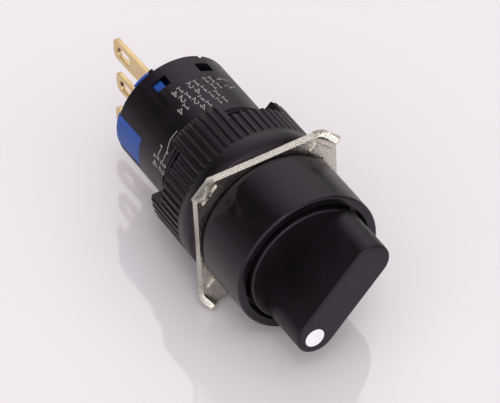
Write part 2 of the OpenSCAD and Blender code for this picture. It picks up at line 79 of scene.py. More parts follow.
def colour(name, description, default):
    return FloatVectorProperty(name=name, description=description, default=default, size=3,
                               min=0.0, max=1.0, subtype="COLOR")


def light_level(name, description, default, high=4.0):
    return FloatProperty(name=name, description=description, default=default, min=0.0, max=high)


class HandleSettings(bpy.types.PropertyGroup):
    """Sizes of the handle's rounded edges and its marker."""
    edge: length("Bar edge", "Radius of the bar's front edge", 0.28 * MM)
    disc_edge: length("Disc edge", "Radius of the disc's front edge", 0.25 * MM)
    marker_radius: length("Marker radius", "Radius of the white marker", 1.2 * MM)


class BodySettings(bpy.types.PropertyGroup):
    """Sizes of the ring, barrel, nut and contact block."""
    bezel_edge: length("Bezel edge", "Radius of the bezel's outer edges", 0.26 * MM)
    thread_pitch: length("Thread pitch", "Distance between two crests of the thread", 1.0 * MM)
    thread_depth: length("Thread depth", "Height of the thread", 0.54 * MM)
    rib_count: IntProperty(name="Ribs", description="Number of grip ribs round the nut", default=60,
                           min=12, max=120)
    rib_depth: length("Rib depth", "Depth of the grooves between the nut's ribs", 0.25 * MM)
    moulded_edge: length("Moulded edge", "Width of the eased edges of moulded pieces", 0.07 * MM)
    sheet_edge: length("Sheet edge", "Width of the eased edges of stamped pieces", 0.05 * MM)


class PrintSettings(bpy.types.PropertyGroup):
    """Sizes of the printed terminal legend."""
    figure_height: length("Figure height", "Height of a printed figure", 0.95 * MM)
    stroke: length("Stroke", "Width of a printed line", 0.12 * MM)
    film: length("Film", "Height of the ink above the surface", 0.012 * MM)


class FinishSettings(bpy.types.PropertyGroup):
    """Colours of the finishes."""
    satin_black: colour("Satin black", "Handle", (0.0048, 0.0038, 0.0052))
    gloss_black: colour("Gloss black", "Bezel ring", (0.0046, 0.0036, 0.0050))
    moulded_black: colour("Moulded black", "Barrel, nut and housing", (0.0052, 0.0042, 0.0056))
    rubber: colour("Rubber", "Gasket and shaft seal", (0.020, 0.019, 0.021))
    marker: colour("Marker", "White marker", (0.90, 0.89, 0.91))
    ink: colour("Ink", "Printed legend", (0.40, 0.38, 0.38))
    blue: colour("Blue", "Terminal base", (0.014, 0.068, 0.325))
    nickel: colour("Nickel", "Lock plate", (0.82, 0.775, 0.68))
    gilt: colour("Gilt", "Terminals", (0.80, 0.60, 0.31))
    bronze: colour("Bronze", "Contact arm", (0.70, 0.46, 0.22))
    silver: colour("Silver", "Contacts", (0.80, 0.79, 0.77))
    steel: colour("Steel", "Clip and springs", (0.52, 0.52, 0.53))
    ivory: colour("Ivory", "Cam and plunger", (0.70, 0.66, 0.56))
    floor: colour("Floor", "Glossy table under the switch", (0.893, 0.856, 0.874))


class StageSettings(bpy.types.PropertyGroup):
    """Levels of the light."""
    room: light_level("Room", "Level of the room as a whole", 0.93)
    wall: light_level("Wall", "Level of the wall near the horizon", 0.38)
    ceiling: light_level("Ceiling", "Level of the dark ceiling", 0.10)
    front: light_level("Front", "Level added in front", 1.62)
    lamp: light_level("Lamp", "Level of the soft lamp above the front", 6.0, high=40.0)
    window: light_level("Window", "Level added behind on the right", 1.20)


class SwitchSettings(bpy.types.PropertyGroup):
    """Everything that the panel shows."""
    handle: PointerProperty(type=HandleSettings)
    body: PointerProperty(type=BodySettings)
    legend: PointerProperty(type=PrintSettings)
    finish: PointerProperty(type=FinishSettings)
    stage: PointerProperty(type=StageSettings)


def settings():
    return bpy.context.scene.selector_switch


def millimetres(value):
    return value / MM


# Fixed sizes in millimetres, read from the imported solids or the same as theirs, and counts of faces


def node_span(node):
    """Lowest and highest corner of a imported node, in millimetres and in the switch's own axes."""
    low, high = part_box(node)
    return Vector((low.x, low.z, -high.y)) / MM, Vector((high.x, high.z, -low.y)) / MM


BEZEL_LOW, BEZEL_HIGH = node_span("bezel")
KNOB_LOW, KNOB_HIGH = node_span("knob_handle")
BARREL_LOW, BARREL_HIGH = node_span("threaded_barrel")
NUT_LOW, NUT_HIGH = node_span("lock_nut")

BAR_ANGLE = math.radians(45)
BAR_WIDTH = 5.0
BAR_REACH = 7.78
BAR_MARK_REACH = 7.25
BAR_FRONT = KNOB_HIGH.z
DISC_R = 7.5
DISC_FRONT = 8.8
DISC_REAR = 6.6
MARKER_AT = 5.2
SHAFT_R = 3.2
SHAFT_REAR = 4.75
TENON_HALF = 2.1
BAR_SINK = 0.2
BAR_END_STEPS = 18
BAR_SIDE_STEPS = 10
BAR_EDGE_STEPS = 6
POCKET_GAP = 0.02
POCKET_DEPTH = 0.5
MARKER_DEPTH = 0.4
MARKER_PROUD = 0.01
MARKER_STEPS = 64
HANDLE_STEPS = 128
HANDLE_EASE = 0.04

BEZEL_R = BEZEL_HIGH.x
BEZEL_FRONT = BEZEL_HIGH.z
BEZEL_REAR = BEZEL_LOW.z
RECESS_R = 7.95
RECESS_FLOOR = BEZEL_FRONT - 1.9
SPIGOT_R = 7.4
SNAP_Z = 3.9
SNAP_GROOVE = 0.23
SNAP_RIDGE = 0.2
SEAT_GAP = 0.02
BEZEL_STEPS = 192
GASKET_STEPS = 160

BARREL_R = 8.0
BARREL_REAR = BARREL_LOW.z
SPIGOT_FRONT = BARREL_HIGH.z
SPIGOT_CHAMFER = 0.3
BORE_R = 6.0
NECK_BORE_R = 6.55
NECK_SEAT = -7.0
FRONT_WALL = 4.9
SHAFT_BORE_R = 3.25
KEYWAY_REACH = 6.9
KEYWAY_FRONT = 1.5
KEYWAY_HALF = 1.0
PLATE_KEY_FLOOR = 7.45
PLATE_KEY_HALF = 1.0
BARREL_CHAMFER = 0.3
THREAD_CREST = 0.14
THREAD_FLANK = 0.62
THREAD_STEPS = 12
THREAD_GAP = 0.05
BARREL_COLUMNS = 96
BARREL_EASE = 0.03

NUT_R = NUT_HIGH.x
NUT_BORE_R = 8.05
NUT_FRONT = NUT_HIGH.z
NUT_REAR = NUT_LOW.z
BAND_REAR = -3.9
NUT_CHAMFER = 0.55
NUT_REAR_EDGE = 0.3
NUT_BORE_CHAMFER = 0.25
NUT_EASE = 0.05
RIB_STEP = 0.015
RUN_OUT = 0.7
RUN_OUT_STEPS = 5
NOTCH_COUNT = 4
NOTCH_ANGLE = 46.0
NOTCH_FIRST = 66.5
NOTCH_FLOOR = NUT_REAR + 2.4

# Half profile of a groove between two ribs: distance along the arc, and share of the full depth
GROOVE = ((0.0, 1.0), (0.10, 0.93), (0.18, 0.74), (0.24, 0.46), (0.285, 0.18), (0.33, 0.03), (0.37, 0.0))

HOUSING_R = 7.45
BASE_FRONT = -20.2
BASE_HOLLOW = 1.0

FILLET_STEPS = 5
JOIN_WITHIN = 1e-5
COPY_JOIN_WITHIN = 2e-4
FLAT_WITHIN = math.radians(0.3)
FACE_WITHIN = 0.02


# Mesh building


def bridge(bm, first, second):
    """Quads between two closed rows of vertices that run side by side."""
    count = len(first)
    for i in range(count):
        j = (i + 1) % count
        corners = (first[i], first[j], second[j], second[i])
        if len(set(corners)) > 2:
            bm.faces.new(dict.fromkeys(corners))


def circle_row(bm, radius, z, count):
    turns = (2 * math.pi * i / count for i in range(count))
    return [bm.verts.new((radius * math.cos(a), radius * math.sin(a), z)) for a in turns]


def lathe(bm, line, count):
    """Solid of revolution under an open line of (radius, z) points, with a flat face at each end."""
    rows = [circle_row(bm, r, z, count) for r, z in line]
    for low, high in zip(rows, rows[1:]):
        bridge(bm, low, high)
    bm.faces.new(rows[0])
    bm.faces.new(rows[-1])


def revolve(bm, section, count):
    """Ring with the closed section of (radius, z) points."""
    rows = [circle_row(bm, r, z, count) for r, z in section]
    for low, high in zip(rows, rows[1:] + rows[:1]):
        bridge(bm, low, high)


def rounded(corners, closed=True):
    """Line through (radius, z, fillet) corners, with an arc of that fillet at each."""
    points = []
    for i, (x, y, fillet) in enumerate(corners):
        here = Vector((x, y))
        if fillet == 0 or (not closed and i in (0, len(corners) - 1)):
            points.append((x, y))
            continue
        before = (Vector(corners[i - 1][:2]) - here).normalized()
        after = (Vector(corners[(i + 1) % len(corners)][:2]) - here).normalized()
        half = before.angle(after) / 2
        centre = here + (before + after).normalized() * fillet / math.sin(half)
        start = here + before * fillet / math.tan(half) - centre
        end = here + after * fillet / math.tan(half) - centre
        for k in range(FILLET_STEPS + 1):
            t = k / FILLET_STEPS
            arm = start.lerp(end, t).normalized() * fillet
            points.append((centre.x + arm.x, centre.y + arm.y))
    return points


def tidy(bm):
    bmesh.ops.remove_doubles(bm, verts=bm.verts, dist=JOIN_WITHIN)
    bmesh.ops.dissolve_degenerate(bm, edges=bm.edges, dist=JOIN_WITHIN)
    bmesh.ops.recalc_face_normals(bm, faces=bm.faces)


def mesh_object(name, bm):
    """New object from a mesh in millimetres, laid down into the frame."""
    tidy(bm)
    bm.transform(IN_FRAME)
    mesh = bpy.data.meshes.new(name)
    bm.to_mesh(mesh)
    bm.free()
    mesh.polygons.foreach_set("use_smooth", [True] * len(mesh.polygons))
    piece = bpy.data.objects.new(name, mesh)
    bpy.context.scene.collection.objects.link(piece)
    return piece


def ease(piece, width, segments=2, angle=35.0):
    """Rounds the sharp edges and keeps the flat faces flat."""
    bevel = piece.modifiers.new("eased edges", "BEVEL")
    bevel.width = width
    bevel.segments = segments
    bevel.limit_method = "ANGLE"
    bevel.angle_limit = math.radians(angle)
    bevel.use_clamp_overlap = True
    bevel.harden_normals = True
    weigh(piece)


def weigh(piece):
    """Lets the large faces set the normals, so that they shade flat."""
    weighted = piece.modifiers.new("weighted normals", "WEIGHTED_NORMAL")
    weighted.mode = "FACE_AREA"
    weighted.weight = 50
    weighted.keep_sharp = True


def place(piece, body, slot, material, *nodes):
    """Puts a finished piece on its body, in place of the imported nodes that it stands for."""
    piece.data.materials.clear()
    piece.data.materials.append(material)
    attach(piece, body)
    if nodes:
        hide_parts(*nodes)


def eased_copy(node, name):
    """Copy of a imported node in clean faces, ready for its edges to be eased."""
    bm = bmesh.new()
    bm.from_mesh(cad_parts[node].data)
    bm.transform(IN_FRAME.inverted())
    bmesh.ops.remove_doubles(bm, verts=bm.verts, dist=COPY_JOIN_WITHIN)
    bmesh.ops.dissolve_limit(bm, angle_limit=FLAT_WITHIN, verts=bm.verts, edges=bm.edges)
    return mesh_object(name, bm)


# Node groups and materials


class Nodes:
    """Short hand for placing and joining the nodes of one tree."""

    def __init__(self, tree):
        self.tree = tree

    def add(self, kind, inputs=None, **facts):
        node = self.tree.nodes.new(kind)
        for name, value in facts.items():
            setattr(node, name, value)
        for name, value in (inputs or {}).items():
            self.feed(node.inputs[name], value)
        return node

    def feed(self, socket, value):
        if isinstance(value, bpy.types.NodeSocket):
            self.tree.links.new(value, socket)
        else:
            socket.default_value = value

    def math(self, operation, first, second, clamp=False):
        node = self.add("ShaderNodeMath", {0: first, 1: second}, operation=operation, use_clamp=clamp)
        return node.outputs[0]

    def multiply(self, vector, factors):
        return self.add("ShaderNodeVectorMath", {0: vector, 1: factors}, operation="MULTIPLY").outputs[0]

    def noise(self, vector, scale, detail=2.0, roughness=0.5):
        return self.add("ShaderNodeTexNoise", {
            "Vector": vector, "Scale": scale, "Detail": detail, "Roughness": roughness}).outputs[0]

    def span(self, value, low, high, to_low=0.0, to_high=1.0, smooth=False):
        return self.add("ShaderNodeMapRange", {
            "Value": value, "From Min": low, "From Max": high, "To Min": to_low, "To Max": to_high},
            interpolation_type="SMOOTHSTEP" if smooth else "LINEAR").outputs[0]

    def blend(self, factor, first, second):
        node = self.add("ShaderNodeMix", data_type="RGBA")
        self.feed(node.inputs[0], factor)
        self.feed(node.inputs[6], first)
        self.feed(node.inputs[7], second)
        return node.outputs[2]


def group(name, inputs, outputs):
    """Node group with float inputs and outputs, and the object coordinates inside it."""
    tree = bpy.data.node_groups.new(name, "ShaderNodeTree")
    for socket_name, default in inputs.items():
        socket = tree.interface.new_socket(socket_name, in_out="INPUT", socket_type="NodeSocketFloat")
        socket.default_value = default
    for socket_name in outputs:
        tree.interface.new_socket(socket_name, in_out="OUTPUT", socket_type="NodeSocketFloat")
    nodes = Nodes(tree)
    given = tree.nodes.new("NodeGroupInput").outputs
    result = tree.nodes.new("NodeGroupOutput").inputs
    where = tree.nodes.new("ShaderNodeTexCoord").outputs["Object"]
    return tree, nodes, given, result, where


SPECK_CELLS = 2600.0
SPECK_EDGE = (0.08, 0.22)
SPECK_LOTS = 420.0
SPECK_SHARE = (0.62, 0.70)
STREAK_SCALE = 9000.0
STREAK_STRETCH = (1.0, 0.06, 1.0)


def moulded_skin():
    """Skin of a moulded piece: fine grain, slow mottle and a few specks of dust."""
    name = "moulded skin"
    if name in bpy.data.node_groups:
        return bpy.data.node_groups[name]
    tree, n, given, result, where = group(
        name, {"Grain": 4000.0, "Mottle": 250.0, "Dust": 0.5}, ["Height", "Tone", "Specks"])
    fine = n.noise(where, given["Grain"], detail=3.0, roughness=0.6)
    broad = n.noise(where, given["Mottle"], detail=3.0, roughness=0.55)
    n.feed(result["Height"], fine)
    n.feed(result["Tone"], n.span(broad, 0.3, 0.7, smooth=True))
    cells = n.add("ShaderNodeTexVoronoi", {"Vector": where, "Scale": SPECK_CELLS}, feature="F1")
    near = n.span(cells.outputs["Distance"], *SPECK_EDGE, 1.0, 0.0)
    lot = n.noise(where, SPECK_LOTS, detail=1.0)
    picked = n.span(lot, *SPECK_SHARE)
    n.feed(result["Specks"], n.math("MULTIPLY", n.math("MULTIPLY", near, picked), given["Dust"]))
    return tree


def worn_and_glint_edges():
    """Mask of the sharp edges, lightened partly as handling wear and partly as a painted highlight along
    the rims.
    """
    name = "handled edges"
    if name in bpy.data.node_groups:
        return bpy.data.node_groups[name]
    tree, n, given, result, where = group(name, {"Start": 0.52, "Full": 0.60, "Break": 900.0}, ["Mask"])
    pointed = n.add("ShaderNodeNewGeometry").outputs["Pointiness"]
    raised = n.span(pointed, given["Start"], given["Full"], smooth=True)
    uneven = n.span(n.noise(where, given["Break"], detail=3.0), 0.35, 0.65, 0.35, 1.0)
    n.feed(result["Mask"], n.math("MULTIPLY", raised, uneven, clamp=True))
    return tree


def plated_sheet():
    """Plated or rolled sheet: granular relief, drawn streaks and dull patches."""
    name = "plated sheet"
    if name in bpy.data.node_groups:
        return bpy.data.node_groups[name]
    tree, n, given, result, where = group(
        name, {"Grain": 5000.0, "Streak": 0.0, "Patch": 500.0}, ["Height", "Tone", "Patches"])
    grain = n.noise(where, given["Grain"], detail=4.0, roughness=0.65)
    drawn = n.noise(n.multiply(where, STREAK_STRETCH), STREAK_SCALE, detail=2.0)
    mix = n.add("ShaderNodeMix", {0: given["Streak"], 2: grain, 3: drawn}, data_type="FLOAT")
    height = mix.outputs[0]
    broad = n.noise(where, given["Patch"], detail=3.0)
    n.feed(result["Height"], height)
    n.feed(result["Tone"], n.span(height, 0.35, 0.65))
    n.feed(result["Patches"], n.span(broad, 0.35, 0.68, smooth=True))
    return tree


def use(nodes, tree, **inputs):
    """Places a node group in a material with the values given, and returns its outputs."""
    node = nodes.tree.nodes.new("ShaderNodeGroup")
    node.node_tree = tree
    for name, value in inputs.items():
        nodes.feed(node.inputs[name], value)
    return node.outputs


def rgba(colour_value, level=1.0):
    return (*(min(1.0, c * level) for c in colour_value[:3]), 1.0)


def new_material(name):
    material = bpy.data.materials.new(name)
    material.use_nodes = True
    nodes = Nodes(material.node_tree)
    shader = material.node_tree.nodes["Principled BSDF"]
    return material, nodes, shader


def relief(nodes, shader, height, distance):
    bump = nodes.add("ShaderNodeBump", {"Height": height, "Distance": distance, "Strength": 1.0})
    nodes.feed(shader.inputs["Normal"], bump.outputs["Normal"])


SKIN_SHEEN = 0.33
GRAZING_FROM = 0.40
GRAZING_TO = 0.80
GRAZING_DULL = 0.14
DUST = (0.30, 0.29, 0.30)


def plastic(name, base, gloss, grain, grain_height, mottle=0.25, dust=0.1, tint=0.82, edge_wear_and_glint_level=2.4):
    """Moulded plastic. gloss is the roughness where the skin is smooth and where it is dull."""
    if name in bpy.data.materials:
        return bpy.data.materials[name]
    material, nodes, shader = new_material(name)
    skin = use(nodes, moulded_skin(), Grain=grain, Dust=dust)
    edges = use(nodes, worn_and_glint_edges())
    body = nodes.blend(skin["Tone"], rgba(base, 1 - mottle), rgba(base, 1 + mottle))
    # Sharp edges are lightened by the edge level: partly handling wear, partly a painted highlight in
    # place of the rims' glint.
    rubbed_and_glinting = nodes.blend(edges["Mask"], body, rgba(base, edge_wear_and_glint_level))
    dusty = nodes.blend(skin["Specks"], rubbed_and_glinting, rgba(DUST))
    nodes.feed(shader.inputs["Base Color"], dusty)
    facing = nodes.add("ShaderNodeLayerWeight", {"Blend": 0.5}).outputs["Facing"]
    grazing = nodes.span(facing, GRAZING_FROM, GRAZING_TO, 0.0, GRAZING_DULL)
    smooth = nodes.span(skin["Tone"], 0.0, 1.0, gloss[0], gloss[1])
    nodes.feed(shader.inputs["Roughness"], nodes.math("ADD", smooth, grazing))
    shader.inputs["Specular Tint"].default_value = (1.0, tint, 1.0, 1.0)
    shader.inputs["Specular IOR Level"].default_value = SKIN_SHEEN
    relief(nodes, shader, skin["Height"], grain_height * MM)
    return material


HIGH_TONE = 1.08
PATCH_SHARE = 0.45
PATCH_TONE = 0.82


def metal(name, base, gloss, grain, relief_height, streak=0.0, shade=0.75):
    """Sheet or wire. gloss is the roughness of bright and of dull patches."""
    if name in bpy.data.materials:
        return bpy.data.materials[name]
    material, nodes, shader = new_material(name)
    sheet = use(nodes, plated_sheet(), Grain=grain, Streak=streak)
    toned = nodes.blend(sheet["Tone"], rgba(base, shade), rgba(base, HIGH_TONE))
    dull = nodes.math("MULTIPLY", sheet["Patches"], PATCH_SHARE)
    dulled = nodes.blend(dull, toned, rgba(base, PATCH_TONE))
    nodes.feed(shader.inputs["Base Color"], dulled)
    nodes.feed(shader.inputs["Roughness"], nodes.span(sheet["Patches"], 0.0, 1.0, gloss[0], gloss[1]))
    shader.inputs["Metallic"].default_value = 1.0
    relief(nodes, shader, sheet["Height"], relief_height * MM)
    return material


def satin_black():
    return plastic("handle satin", settings().finish.satin_black, (0.27, 0.35), grain=5200.0,
                   grain_height=0.003)


def gloss_black():
    # The bezel's edge level is higher: a painted highlight line along its rims.
    return plastic("bezel gloss", settings().finish.gloss_black, (0.17, 0.23), grain=1500.0,
                   grain_height=0.0012, edge_wear_and_glint_level=5.0)


def moulded_black():
    return plastic("black mouldings", settings().finish.moulded_black, (0.22, 0.30), grain=2600.0,
                   grain_height=0.002)


def rubber():
    return plastic("rubber rings", settings().finish.rubber, (0.55, 0.72), grain=3200.0,
                   grain_height=0.008, edge_wear_and_glint_level=1.2)


def white_marker():
    return plastic("marker white", settings().finish.marker, (0.30, 0.42), grain=3000.0,
                   grain_height=0.002, mottle=0.02, dust=0.25, tint=1.0, edge_wear_and_glint_level=1.0)


def blue_plastic():
    return plastic("blue base", settings().finish.blue, (0.34, 0.46), grain=2600.0,
                   grain_height=0.004, mottle=0.12, dust=0.3, tint=1.0, edge_wear_and_glint_level=1.25)


def ivory_plastic():
    return plastic("ivory mouldings", settings().finish.ivory, (0.32, 0.45), grain=2400.0,
                   grain_height=0.003, mottle=0.06, dust=0.2, tint=1.0, edge_wear_and_glint_level=1.05)


def legend_ink():
    """Pad-printed ink, a little worn."""
    name = "legend ink"
    if name in bpy.data.materials:
        return bpy.data.materials[name]
    material, nodes, shader = new_material(name)
    ink = settings().finish.ink
    skin = use(nodes, moulded_skin(), Grain=6500.0, Mottle=1400.0, Dust=0.0)
    worn = nodes.span(skin["Height"], 0.38, 0.55)
    nodes.feed(shader.inputs["Base Color"], nodes.blend(worn, rgba(ink, 0.45), rgba(ink, 1.15)))
    nodes.feed(shader.inputs["Roughness"], nodes.span(skin["Tone"], 0.0, 1.0, 0.45, 0.6))
    relief(nodes, shader, skin["Height"], 0.004 * MM)
    return material


def nickel_plate():
    return metal("plate nickel", settings().finish.nickel, (0.11, 0.26), grain=5200.0,
                 relief_height=0.055, shade=0.36)


def gilt_brass():
    return metal("terminal gilt", settings().finish.gilt, (0.26, 0.36), grain=5200.0,
                 relief_height=0.002, streak=0.6, shade=0.9)


def spring_bronze():
    return metal("arm bronze", settings().finish.bronze, (0.24, 0.36), grain=5200.0,
                 relief_height=0.002, streak=0.7, shade=0.85)


def contact_silver():
    return metal("contact silver", settings().finish.silver, (0.22, 0.38), grain=4200.0,
                 relief_height=0.002, shade=0.9)


def spring_steel():
    return metal("spring wire", settings().finish.steel, (0.22, 0.34), grain=6200.0,
                 relief_height=0.002, streak=0.5)


# The handle


def stadium(out):
    """Outline of the grip bar along x, moved outward by a distance, before it is turned to its place."""
    half = BAR_WIDTH / 2
    plain, marked = BAR_REACH - half, half - BAR_MARK_REACH
    points = []
    for i in range(BAR_END_STEPS + 1):
        a = math.pi * (i / BAR_END_STEPS - 0.5)
        points.append((plain + half * math.cos(a), half * math.sin(a), math.cos(a), math.sin(a)))
    for i in range(1, BAR_SIDE_STEPS):
        points.append((plain + (marked - plain) * i / BAR_SIDE_STEPS, half, 0.0, 1.0))
    for i in range(BAR_END_STEPS + 1):
        a = math.pi * (i / BAR_END_STEPS + 0.5)
        points.append((marked + half * math.cos(a), half * math.sin(a), math.cos(a), math.sin(a)))
    for i in range(1, BAR_SIDE_STEPS):
        points.append((marked + (plain - marked) * i / BAR_SIDE_STEPS, -half, 0.0, -1.0))
    return [(x + nx * out, y + ny * out) for x, y, nx, ny in points]


def grip_bar(bm, edge):
    """Bar with a rounded front edge; its foot sinks a little into the disc."""
    levels = [(DISC_FRONT - BAR_SINK, 0.0), (DISC_FRONT + 0.4, 0.0), (BAR_FRONT - edge - 0.15, 0.0)]
    for i in range(BAR_EDGE_STEPS + 1):
        a = math.radians(90 / BAR_EDGE_STEPS * i)
        levels.append((BAR_FRONT - edge + edge * math.sin(a), edge * (math.cos(a) - 1)))
    levels.append((BAR_FRONT, -edge - 0.12))
    rows = []
    for z, out in levels:
        rows.append([bm.verts.new((x, y, z)) for x, y in stadium(out)])
    for low, high in zip(rows, rows[1:]):
        bridge(bm, low, high)
    bm.faces.new(rows[0])
    bm.faces.new(rows[-1])


def cut_with(target, cutter):
    """Takes the cutter out of the target for good and removes it."""
    cut = target.modifiers.new("cut", "BOOLEAN")
    cut.operation = "DIFFERENCE"
    cut.solver = "EXACT"
    cut.object = cutter
    depsgraph = bpy.context.evaluated_depsgraph_get()
    mesh = bpy.data.meshes.new_from_object(target.evaluated_get(depsgraph))
    target.modifiers.clear()
    target.data = mesh
    bpy.data.objects.remove(cutter)


class SWITCH_OT_handle(bpy.types.Operator):
    """Handle in one moulding, with its white marker let into the bar"""
    bl_idname = "switch.handle"
    bl_label = "Handle"

    def execute(self, context):
        sizes = settings().handle
        marker_r = millimetres(sizes.marker_radius)
        turned = Matrix.Rotation(BAR_ANGLE, 4, "Z")
        seat = Vector((-MARKER_AT, 0, BAR_FRONT))

        bar = bmesh.new()
        grip_bar(bar, millimetres(sizes.edge))
        bar.transform(turned)
        piece = mesh_object("handle", bar)
        pocket = bmesh.new()
        pocket_r = marker_r + POCKET_GAP
        lathe(pocket, [(pocket_r, -POCKET_DEPTH), (pocket_r, 1.0)], MARKER_STEPS)
        pocket.transform(turned @ Matrix.Translation(seat))
        cut_with(piece, mesh_object("pocket", pocket))

        whole = bmesh.new()
        whole.from_mesh(piece.data)
        whole.transform(IN_FRAME.inverted())
        disc_edge = millimetres(sizes.disc_edge)
        lathe(whole, rounded([
            (0.4, SHAFT_REAR, 0), (SHAFT_R, SHAFT_REAR, 0.15), (SHAFT_R, DISC_REAR, 0.1),
            (DISC_R, DISC_REAR, 0.1), (DISC_R, DISC_FRONT, disc_edge), (0.4, DISC_FRONT, 0)],
            closed=False), HANDLE_STEPS)
        corners = ((1, 1), (-1, 1), (-1, -1), (1, -1))
        tenon = [(x * TENON_HALF, y * TENON_HALF) for x, y in corners]
        rows = [[whole.verts.new((x, y, z)) for x, y in tenon] for z in (KNOB_LOW.z, SHAFT_REAR + 0.1)]
        bridge(whole, rows[0], rows[1])
        whole.faces.new(rows[0])
        whole.faces.new(rows[1])
        bpy.data.objects.remove(piece)
        handle = mesh_object("handle", whole)
        ease(handle, HANDLE_EASE * MM, angle=50.0)
        place(handle, "knob", "black_satin", satin_black(), "knob_handle")

        dot = bmesh.new()
        lathe(dot, rounded([
            (0.2, -MARKER_DEPTH, 0), (marker_r, -MARKER_DEPTH, 0), (marker_r, MARKER_PROUD, 0.06),
            (0.2, MARKER_PROUD, 0)], closed=False), MARKER_STEPS)
        dot.transform(turned @ Matrix.Translation(seat))
        marker = mesh_object("marker", dot)
        weigh(marker)
        place(marker, "knob", "white_marker", white_marker(), "indicator_dot")
        return {"FINISHED"}


# The bezel ring and gasket


class SWITCH_OT_bezel(bpy.types.Operator):
    """Bezel ring with its rounded rims, and the gasket under it"""
    bl_idname = "switch.bezel"
    bl_label = "Bezel and gasket"

    def execute(self, context):
        edge = millimetres(settings().body.bezel_edge)
        ring = bmesh.new()
        inner = SPIGOT_R + SEAT_GAP
        groove = inner + SNAP_GROOVE
        revolve(ring, rounded([
            (BEZEL_R, BEZEL_REAR, edge), (BEZEL_R, BEZEL_FRONT, edge), (RECESS_R, BEZEL_FRONT, 0.12),
            (RECESS_R, RECESS_FLOOR, 0.15), (inner, RECESS_FLOOR, 0.08), (inner, SNAP_Z + 0.6, 0),
            (groove, SNAP_Z + 0.35, 0), (groove, SNAP_Z - 0.35, 0), (inner, SNAP_Z - 0.6, 0),
            (inner, BEZEL_REAR, 0.05)]), BEZEL_STEPS)
        piece = mesh_object("bezel_ring", ring)
        weigh(piece)
        place(piece, "switch_body", "black_gloss", gloss_black(), "bezel")

        low, high = node_span("panel_gasket")
        seal = bmesh.new()
        inner = BARREL_R + SEAT_GAP
        revolve(seal, rounded([
            (high.x, low.z, 0.12), (high.x, high.z, 0.12), (inner, high.z, 0.05),
            (inner, low.z, 0.05)]), GASKET_STEPS)
        gasket = mesh_object("gasket", seal)
        weigh(gasket)
        place(gasket, "switch_body", "black_rubber", rubber(), "panel_gasket")
        return {"FINISHED"}


# The threaded barrel


def thread_radius(turn, z, pitch, depth):
    """Radius of a right-hand thread with a flat crest and root, at a turn of 0 to 1 round the axis."""
    phase = (z / pitch - turn) % 1.0
    rise = abs(2 * phase - 1)
    return BARREL_R - depth * min(1.0, max(0.0, (rise - THREAD_CREST) / THREAD_FLANK))


def barrel_angles():
    """Angles of the barrel's columns, in degrees, with close pairs at the walls of its keyways."""
    angles = [i * 360 / BARREL_COLUMNS for i in range(BARREL_COLUMNS)]
    side = math.degrees(math.asin(KEYWAY_HALF / KEYWAY_REACH))
    plate_side = math.degrees(math.asin(PLATE_KEY_HALF / BARREL_R))
    for middle, half in ((0, side), (180, side), (270, plate_side)):
        for wall in (middle - half, middle + half):
            angles = [a for a in angles if abs((a - wall + 180) % 360 - 180) > 0.8]
            angles += [(wall - 0.05) % 360, (wall + 0.05) % 360]
    return sorted(angles)


def outer_radius(a, z, pitch, depth):
    """Thread, cut back by the rear chamfer and by the lock plate's keyway."""
    radius = thread_radius(a / 360, z, pitch, depth)
    radius = min(radius, BARREL_R - BARREL_CHAMFER + (z - BARREL_REAR))
    across = abs(radius * math.cos(math.radians(a)))
    if 180 < a < 360 and across < PLATE_KEY_HALF:
        radius = min(radius, PLATE_KEY_FLOOR / abs(math.sin(math.radians(a))))
    return radius


def bore_radius(a, z, plain):
    """Plain bore, or the floor of one of the two keyways that guide the plunger."""
    across = abs(math.cos(math.radians(a)))
    reach = KEYWAY_REACH / across if across > 0.5 else 0.0
    inside = z <= KEYWAY_FRONT and reach * abs(math.sin(math.radians(a))) < KEYWAY_HALF
    return max(plain, reach) if inside else plain


class SWITCH_OT_barrel(bpy.types.Operator):
    """Barrel with its helical thread, keyways and stepped bore"""
    bl_idname = "switch.barrel"
    bl_label = "Threaded barrel"

    def execute(self, context):
        sizes = settings().body
        pitch, depth = millimetres(sizes.thread_pitch), millimetres(sizes.thread_depth)
        thread_front = BEZEL_REAR - THREAD_GAP
        ridge = SPIGOT_R + SNAP_RIDGE
        count = round((thread_front - BARREL_REAR) / pitch * THREAD_STEPS)
        levels = [BARREL_REAR + (thread_front - BARREL_REAR) * i / count for i in range(count + 1)]
        angles = barrel_angles()
        bm = bmesh.new()

        def row(radius, z):
            points = [(radius(a) if callable(radius) else radius, math.radians(a)) for a in angles]
            return [bm.verts.new((r * math.cos(a), r * math.sin(a), z)) for r, a in points]

        rows = [row(lambda a, z=z: outer_radius(a, z, pitch, depth), z) for z in levels]
        rows += [row(radius, z) for radius, z in (
            (BARREL_R, thread_front + 0.02), (BARREL_R, BEZEL_REAR), (SPIGOT_R, BEZEL_REAR),
            (SPIGOT_R, SNAP_Z - 0.5), (ridge, SNAP_Z - 0.3), (ridge, SNAP_Z + 0.3),
            (SPIGOT_R, SNAP_Z + 0.5), (SPIGOT_R, SPIGOT_FRONT - SPIGOT_CHAMFER),
            (SPIGOT_R - SPIGOT_CHAMFER, SPIGOT_FRONT), (SHAFT_BORE_R, SPIGOT_FRONT),
            (SHAFT_BORE_R, FRONT_WALL), (BORE_R, FRONT_WALL), (BORE_R, KEYWAY_FRONT + 0.02))]
        keyed = (
            (KEYWAY_FRONT, BORE_R), (NECK_SEAT, BORE_R), (NECK_SEAT, NECK_BORE_R),
            (BARREL_REAR, NECK_BORE_R))
        for z, plain in keyed:
            rows.append(row(lambda a, z=z, plain=plain: bore_radius(a, z, plain), z))
        for low, high in zip(rows, rows[1:] + rows[:1]):
            bridge(bm, low, high)
        piece = mesh_object("barrel", bm)
        ease(piece, BARREL_EASE * MM, segments=1, angle=65.0)
        place(piece, "switch_body", "black_moulded", moulded_black(), "threaded_barrel")
        return {"FINISHED"}


# The lock nut


def rib_drop(arc, depth):
    """Depth of a groove at a distance along the arc from its middle."""
    arc = abs(arc)
    for (a, da), (b, db) in zip(GROOVE, GROOVE[1:]):
        if arc <= b:
            return depth * (da + (db - da) * (arc - a) / (b - a))
    return 0.0


